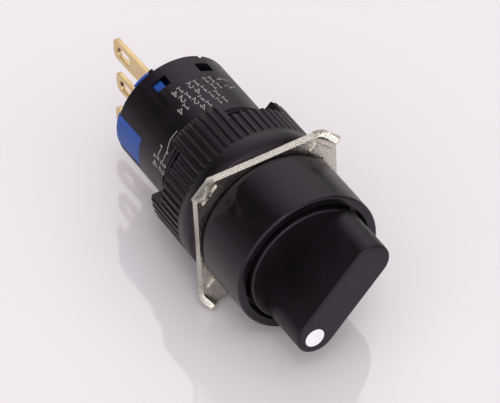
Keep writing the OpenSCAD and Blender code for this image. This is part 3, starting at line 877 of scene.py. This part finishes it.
def nut_angles(ribs):
    """Angles of the nut's columns in degrees: each groove's profile, and both walls of each notch."""
    pitch = 360 / ribs
    arcs = [-arc for arc, share in GROOVE[1:]] + [arc for arc, share in GROOVE]
    angles = [(i * pitch + math.degrees(arc / NUT_R)) % 360 for i in range(ribs) for arc in arcs]
    walls = []
    for i in range(NOTCH_COUNT):
        middle = NOTCH_FIRST + i * 360 / NOTCH_COUNT
        walls += [(middle - NOTCH_ANGLE / 2) % 360, (middle + NOTCH_ANGLE / 2) % 360]
    angles = [a for a in angles if min(abs((a - w + 180) % 360 - 180) for w in walls) > 0.25]
    return sorted(angles + walls)


def in_notch(a):
    """True at an angle, in degrees, where one of the rear notches is."""
    turned = (a - NOTCH_FIRST + 180 / NOTCH_COUNT) % (360 / NOTCH_COUNT) - 180 / NOTCH_COUNT
    return abs(turned) < NOTCH_ANGLE / 2


class SWITCH_OT_lock_nut(bpy.types.Operator):
    """Ribbed lock nut with run-outs at its plain band and spanner notches in its rear end"""
    bl_idname = "switch.lock_nut"
    bl_label = "Lock nut"

    def execute(self, context):
        sizes = settings().body
        ribs, depth = sizes.rib_count, millimetres(sizes.rib_depth)
        angles = nut_angles(ribs)
        pitch = 360 / ribs
        chamfer_end = NUT_FRONT - NUT_CHAMFER
        crest = NUT_R - RIB_STEP
        levels = [
            (NUT_FRONT, NUT_R - NUT_CHAMFER, 0.0), (chamfer_end + 0.06, NUT_R - 0.06, 0.0),
            (chamfer_end - 0.02, NUT_R, 0.0), (BAND_REAR + 0.03, NUT_R, 0.0), (BAND_REAR, crest, 0.0)]
        for i in range(1, RUN_OUT_STEPS + 1):
            t = i / RUN_OUT_STEPS
            levels.append((BAND_REAR - RUN_OUT * i / RUN_OUT_STEPS, crest, t * t * (3 - 2 * t)))
        levels += [
            (NOTCH_FLOOR, crest, 1.0), (NUT_REAR + NUT_REAR_EDGE, crest, 1.0),
            (NUT_REAR + 0.08, NUT_R - 0.16, 1.0), (NUT_REAR, NUT_R - NUT_REAR_EDGE, 1.0)]
        floor_level = next(i for i, level in enumerate(levels) if level[0] == NOTCH_FLOOR)

        inner = [
            (NUT_BORE_R + NUT_BORE_CHAMFER, NUT_FRONT), (NUT_BORE_R, NUT_FRONT - NUT_BORE_CHAMFER),
            (NUT_BORE_R, NOTCH_FLOOR), (NUT_BORE_R, NUT_REAR)]
        bm = bmesh.new()
        outer, bore = [], []
        for a in angles:
            arc = math.radians((a + pitch / 2) % pitch - pitch / 2) * NUT_R
            drop = rib_drop(arc, depth)
            turn = math.radians(a)
            column = [(min(r, NUT_R - drop * share), z) for z, r, share in levels]
            outer.append([bm.verts.new((r * math.cos(turn), r * math.sin(turn), z)) for r, z in column])
            bore.append([bm.verts.new((r * math.cos(turn), r * math.sin(turn), z)) for r, z in inner])
        count = len(angles)
        notched = []
        for i in range(count):
            gap = (angles[(i + 1) % count] - angles[i]) % 360
            notched.append(in_notch(angles[i] + gap / 2))
        for i in range(count):
            j = (i + 1) % count
            last = floor_level if notched[i] else len(levels) - 1
            for k in range(last):
                bm.faces.new((outer[i][k], outer[j][k], outer[j][k + 1], outer[i][k + 1]))
            bore_last = 2 if notched[i] else 3
            for k in range(bore_last):
                bm.faces.new((bore[i][k], bore[i][k + 1], bore[j][k + 1], bore[j][k]))
            bm.faces.new((outer[i][0], bore[i][0], bore[j][0], outer[j][0]))
            bm.faces.new((outer[i][last], outer[j][last], bore[j][bore_last], bore[i][bore_last]))
            if notched[i] != notched[i - 1]:
                bm.faces.new(outer[i][floor_level:] + [bore[i][3], bore[i][2]])
        piece = mesh_object("lock_nut_ribbed", bm)
        ease(piece, NUT_EASE * MM, angle=60.0)
        place(piece, "nut", "black_moulded", moulded_black(), "lock_nut")
        return {"FINISHED"}


# The lock plate, contact block and terminals


class SWITCH_OT_lock_plate(bpy.types.Operator):
    """Square claw plate with the eased edges of a nickel-plated stamping"""
    bl_idname = "switch.lock_plate"
    bl_label = "Lock plate"

    def execute(self, context):
        piece = eased_copy("lock_plate", "claw_plate")
        ease(piece, settings().body.sheet_edge)
        place(piece, "plate", "plate_steel", nickel_plate(), "lock_plate")
        return {"FINISHED"}


def sink_face(piece, z, depth):
    """Moves the flat face at z rearward, so that the space behind the windows is hollow."""
    to_switch = IN_FRAME.inverted()
    for vertex in piece.data.vertices:
        point = to_switch @ vertex.co
        if abs(point.z - z) < FACE_WITHIN:
            point.z -= depth
            vertex.co = IN_FRAME @ point


class SWITCH_OT_contact_block(bpy.types.Operator):
    """Black housing and the blue base that closes it"""
    bl_idname = "switch.contact_block"
    bl_label = "Contact block"

    def execute(self, context):
        edge = settings().body.moulded_edge
        housing = eased_copy("contact_housing", "housing")
        ease(housing, edge)
        place(housing, "switch_body", "black_moulded", moulded_black(), "contact_housing")
        base = eased_copy("terminal_base", "base")
        sink_face(base, BASE_FRONT, BASE_HOLLOW)
        ease(base, edge)
        place(base, "switch_body", "blue_plastic", blue_plastic(), "terminal_base")
        return {"FINISHED"}


class SWITCH_OT_terminals(bpy.types.Operator):
    """The three flat terminals, stamped and gold flashed"""
    bl_idname = "switch.terminals"
    bl_label = "Terminals"

    def execute(self, context):
        for place_name in ("upper", "middle", "lower"):
            node = f"terminal_{place_name}"
            piece = eased_copy(node, f"tab_{place_name}")
            ease(piece, settings().body.sheet_edge)
            place(piece, "switch_body", "gilt_brass", gilt_brass(), node)
        return {"FINISHED"}


# The printed legend

# Strokes of each figure and symbol, as (along, up) points for a height of one
GLYPHS = {
    "1": [[(0.08, 0.80), (0.30, 1.0), (0.30, 0.0)], [(0.08, 0.0), (0.52, 0.0)]],
    "2": [[(0.02, 0.78), (0.10, 0.95), (0.28, 1.0), (0.48, 0.93), (0.55, 0.74), (0.46, 0.52), (0.0, 0.0),
           (0.56, 0.0)]],
    "4": [[(0.44, 0.0), (0.44, 1.0), (0.0, 0.32), (0.58, 0.32)]],
    "open": [[(0.0, 0.5), (0.5, 0.5), (1.25, 0.98)], [(1.25, 0.5), (1.8, 0.5)]],
    "shut": [[(0.0, 0.5), (0.5, 0.5), (1.35, 0.28)], [(1.25, 0.16), (1.25, 0.5), (1.8, 0.5)]],
    "changeover": [[(0.0, 0.5), (0.7, 0.5), (1.55, 0.86)], [(1.45, 0.98), (1.45, 0.80), (2.2, 0.80)],
                   [(1.45, 0.02), (1.45, 0.20), (2.2, 0.20)]],
}
ADVANCE = {"open": 2.3, "shut": 2.3, "changeover": 2.6, " ": 0.55}
PLAIN_ADVANCE = 0.82
STROKE_STEP = 0.3
MITRE_LEAST = 0.45
INK_FOOT = 0.02

# Each line of the legend: angle where it starts, height along the axis, size, symbol and figures
LEGEND = (
    (71.0, -13.5, 1.0, "", "11 14"),
    (73.0, -14.8, 1.0, "", "11 12 14"),
    (48.0, -16.1, 1.0, "open", "11 14 12"),
    (50.0, -17.4, 1.0, "shut", "11 12 14"),
    (127.0, -13.4, 1.9, "changeover", ""),
    (157.0, -12.2, 1.1, "", "12"),
    (157.0, -13.7, 1.1, "", "14"),
)


def stroke_ribbon(bm, points, width, radius, film):
    """Closed strip of ink along a line of (arc, height) points, wrapped on a cylinder."""
    line = [Vector(points[0])]
    for corner in points[1:]:
        step = Vector(corner) - line[-1]
        parts = math.ceil(abs(step.x) / STROKE_STEP) or 1
        line += [line[-1] + step / parts * (i + 1) for i in range(parts)]
    rows = []
    for i, point in enumerate(line):
        before = (point - line[i - 1]).normalized() if i else None
        after = (line[i + 1] - point).normalized() if i < len(line) - 1 else None
        heading = ((before or after) + (after or before)).normalized()
        normal = Vector((-heading.y, heading.x))
        onward = after or before
        stretch = 1.0 / max(MITRE_LEAST, normal.dot(Vector((-onward.y, onward.x))))
        side = normal * width / 2 * stretch
        tail = heading * width / 3 * (-1 if i == 0 else 1 if i == len(line) - 1 else 0)
        corners = []
        top, foot = radius + film, radius - INK_FOOT
        for offset, r in ((side, top), (-side, top), (-side, foot), (side, foot)):
            arc, height = point + tail + offset
            turn = arc / radius
            corners.append(bm.verts.new((r * math.cos(turn), r * math.sin(turn), height)))
        rows.append(corners)
    for first, second in zip(rows, rows[1:]):
        bridge(bm, first, second)
    bm.faces.new(rows[0])
    bm.faces.new(rows[-1])


class SWITCH_OT_legend(bpy.types.Operator):
    """Plain figures and contact symbols printed on the housing"""
    bl_idname = "switch.legend"
    bl_label = "Printed legend"

    def execute(self, context):
        sizes = settings().legend
        height = millimetres(sizes.figure_height)
        stroke, film = millimetres(sizes.stroke), millimetres(sizes.film)
        bm = bmesh.new()
        for start, z, size, symbol, figures in LEGEND:
            at = math.radians(start) * HOUSING_R
            for figure in ([symbol] if symbol else []) + list(figures):
                for line in GLYPHS.get(figure, []):
                    points = [(at + x * height * size, z + y * height * size) for x, y in line]
                    stroke_ribbon(bm, points, stroke, HOUSING_R, film)
                at += ADVANCE.get(figure, PLAIN_ADVANCE) * height * size
        piece = mesh_object("legend", bm)
        place(piece, "switch_body", "white_marker", legend_ink())
        return {"FINISHED"}


# The works inside


# Each spring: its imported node, the joint that presses it, its fixed end along Y, and the share of its
# length that is left at the joint's limit
SPRINGS = (
    ("plunger_spring", "plunger_slide", 7.0, 0.88),
    ("arm_spring", "arm_tilt", 20.2, 0.865),
)


class SWITCH_OT_works(bpy.types.Operator):
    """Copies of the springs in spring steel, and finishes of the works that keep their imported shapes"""
    bl_idname = "switch.works"
    bl_label = "Works inside"

    def execute(self, context):
        finishes = {
            "shaft_seal": rubber, "selector_cam": ivory_plastic, "plunger": ivory_plastic,
            "cam_clip": spring_steel, "contact_arm": spring_bronze, "moving_contact": contact_silver,
            "front_contact": contact_silver, "rear_contact": contact_silver,
        }
        for node, finish in finishes.items():
            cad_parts[node].material_slots[0].material = finish()
        for node, joint, fixed_end, left in SPRINGS:
            coil = eased_copy(node, f"{node}_coil")
            place(coil, "switch_body", "spring_steel", spring_steel(), node)
            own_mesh(coil)
        return {"FINISHED"}


# The floor, the light of the room and the camera

CAMERA_AZIMUTH = math.radians(-28.60)
CAMERA_HEIGHT = math.radians(43.78)
CAMERA_ROLL = math.radians(-3.01)
CAMERA_DISTANCE = 449.9 * MM
CAMERA_SHIFT = Vector((2.40 * MM, 2.15 * MM))
CAMERA_LENS = 288.0
CAMERA_TARGET = Vector((0, -0.4 * MM, 0))
SENSOR_WIDTH = 36.0
FLOOR_NORMAL = Vector((0.055, 0.0, 1.0)).normalized()
FLOOR_DEPTH = 9.9 * MM
FLOOR_IOR = 1.85
FLOOR_RADII = (0.02, 0.1, 0.5, 3.0)
FLOOR_STEPS = 96
LIGHT_COLOUR = (1.0, 0.975, 1.0, 1.0)

# Heights, as the sine of their angle, between which the wall gives way to the ceiling
WALL_FADE = (0.08, 0.48)

# Soft fields of light: azimuth and height of the middle, and how many degrees from it the field begins
# to fade and is gone
FRONT_FIELD = (-22, 35, 0, 86)
WINDOW_FIELD = (148, 40, 0, 40)
LAMP_FIELD = (-22, 60, 5, 9)


def direction(azimuth, height):
    """Unit vector from the switch: azimuth 0 is the handle's side, and 90 the right seen from there."""
    a, e = math.radians(azimuth), math.radians(height)
    return Vector((math.sin(a) * math.cos(e), -math.cos(a) * math.cos(e), math.sin(e)))


def soft_field(nodes, where, field, level):
    """Light that is even inside one angle from its middle and has faded at another."""
    azimuth, height, inner, outer = field
    middle = direction(azimuth, height)
    near = nodes.add("ShaderNodeVectorMath", {0: where, 1: middle}, operation="DOT_PRODUCT")
    edge, full = math.cos(math.radians(outer)), math.cos(math.radians(inner))
    return nodes.span(near.outputs["Value"], edge, full, 0.0, level)


def room_light():
    """Room that lights the switch: bright in front, a window behind on the right, a dark ceiling."""
    levels = settings().stage
    world = bpy.data.worlds.new("room")
    world.use_nodes = True
    nodes = Nodes(world.node_tree)
    backdrop = world.node_tree.nodes["Background"]
    where = nodes.add("ShaderNodeTexCoord").outputs["Generated"]
    height = nodes.add("ShaderNodeSeparateXYZ", {0: where}).outputs["Z"]
    level = nodes.span(height, *WALL_FADE, levels.wall, levels.ceiling, smooth=True)
    fields = ((FRONT_FIELD, levels.front), (WINDOW_FIELD, levels.window), (LAMP_FIELD, levels.lamp))
    for field, added in fields:
        level = nodes.math("ADD", level, soft_field(nodes, where, field, added))
    nodes.feed(backdrop.inputs["Strength"], nodes.math("MULTIPLY", level, levels.room))
    backdrop.inputs["Color"].default_value = LIGHT_COLOUR
    return world


def floor_material():
    material, nodes, shader = new_material("glossy table")
    tone = settings().finish.floor
    where = nodes.add("ShaderNodeTexCoord").outputs["Object"]
    cloud = nodes.noise(where, 14.0, detail=2.0)
    nodes.feed(shader.inputs["Base Color"], nodes.blend(cloud, rgba(tone, 0.985), rgba(tone, 1.015)))
    nodes.feed(shader.inputs["Roughness"], nodes.span(nodes.noise(where, 60.0), 0.3, 0.7, 0.03, 0.06))
    shader.inputs["IOR"].default_value = FLOOR_IOR
    return material


class SWITCH_OT_stage(bpy.types.Operator):
    """Glossy pale floor, the light of the room and the camera"""
    bl_idname = "switch.stage"
    bl_label = "Stage"

    def execute(self, context):
        scene = bpy.context.scene
        bm = bmesh.new()
        rows = [circle_row(bm, r, 0.0, FLOOR_STEPS) for r in FLOOR_RADII]
        bm.faces.new(rows[0])
        for low, high in zip(rows, rows[1:]):
            bridge(bm, low, high)
        bmesh.ops.recalc_face_normals(bm, faces=bm.faces)
        mesh = bpy.data.meshes.new("floor")
        bm.to_mesh(mesh)
        bm.free()
        floor = bpy.data.objects.new("floor", mesh)
        scene.collection.objects.link(floor)
        floor.rotation_euler = FLOOR_NORMAL.to_track_quat("Z", "Y").to_euler()
        floor.location = -FLOOR_NORMAL * FLOOR_DEPTH
        mesh.materials.append(floor_material())
        scene.world = room_light()

        right = Vector((math.cos(CAMERA_AZIMUTH), math.sin(CAMERA_AZIMUTH), 0))
        back = direction(math.degrees(CAMERA_AZIMUTH), math.degrees(CAMERA_HEIGHT))
        up = back.cross(right)
        across = math.cos(CAMERA_ROLL) * right + math.sin(CAMERA_ROLL) * up
        upward = -math.sin(CAMERA_ROLL) * right + math.cos(CAMERA_ROLL) * up
        data = bpy.data.cameras.new("camera")
        data.lens = CAMERA_LENS
        data.sensor_width = SENSOR_WIDTH
        data.sensor_fit = "HORIZONTAL"
        data.clip_start = 0.01
        camera = bpy.data.objects.new("camera", data)
        scene.collection.objects.link(camera)
        at = CAMERA_TARGET + back * CAMERA_DISTANCE - across * CAMERA_SHIFT.x + upward * CAMERA_SHIFT.y
        camera.matrix_world = Matrix((
            (across.x, upward.x, back.x, at.x), (across.y, upward.y, back.y, at.y),
            (across.z, upward.z, back.z, at.z), (0, 0, 0, 1)))
        scene.camera = camera
        scene.view_settings.view_transform = "Standard"
        return {"FINISHED"}


# The panel and the order of work

PIECES = (
    SWITCH_OT_handle, SWITCH_OT_bezel, SWITCH_OT_barrel, SWITCH_OT_lock_plate, SWITCH_OT_lock_nut,
    SWITCH_OT_contact_block, SWITCH_OT_terminals, SWITCH_OT_legend, SWITCH_OT_works, SWITCH_OT_stage,
)


class SWITCH_PT_panel(bpy.types.Panel):
    """Lists the pieces and the values that they are built from"""
    bl_idname = "SWITCH_PT_panel"
    bl_label = "Selector switch"
    bl_space_type = "VIEW_3D"
    bl_region_type = "UI"
    bl_category = "Switch"

    def draw(self, context):
        layout = self.layout
        for piece in PIECES:
            layout.operator(piece.bl_idname)
        for part in ("handle", "body", "legend", "finish", "stage"):
            box = layout.box()
            values = getattr(context.scene.selector_switch, part)
            for name in values.__annotations__:
                box.prop(values, name)


CLASSES = (
    HandleSettings, BodySettings, PrintSettings, FinishSettings, StageSettings, SwitchSettings, *PIECES,
    SWITCH_PT_panel,
)


def register():
    for cls in CLASSES:
        bpy.utils.register_class(cls)
    bpy.types.Scene.selector_switch = PointerProperty(type=SwitchSettings)


def unregister():
    del bpy.types.Scene.selector_switch
    for cls in reversed(CLASSES):
        bpy.utils.unregister_class(cls)


def main():
    register()
    for piece in PIECES:
        family, name = piece.bl_idname.split(".")
        if getattr(getattr(bpy.ops, family), name)() != {"FINISHED"}:
            raise RuntimeError(f"{piece.bl_label} could not be built")


if __name__ == "__main__":
    main()
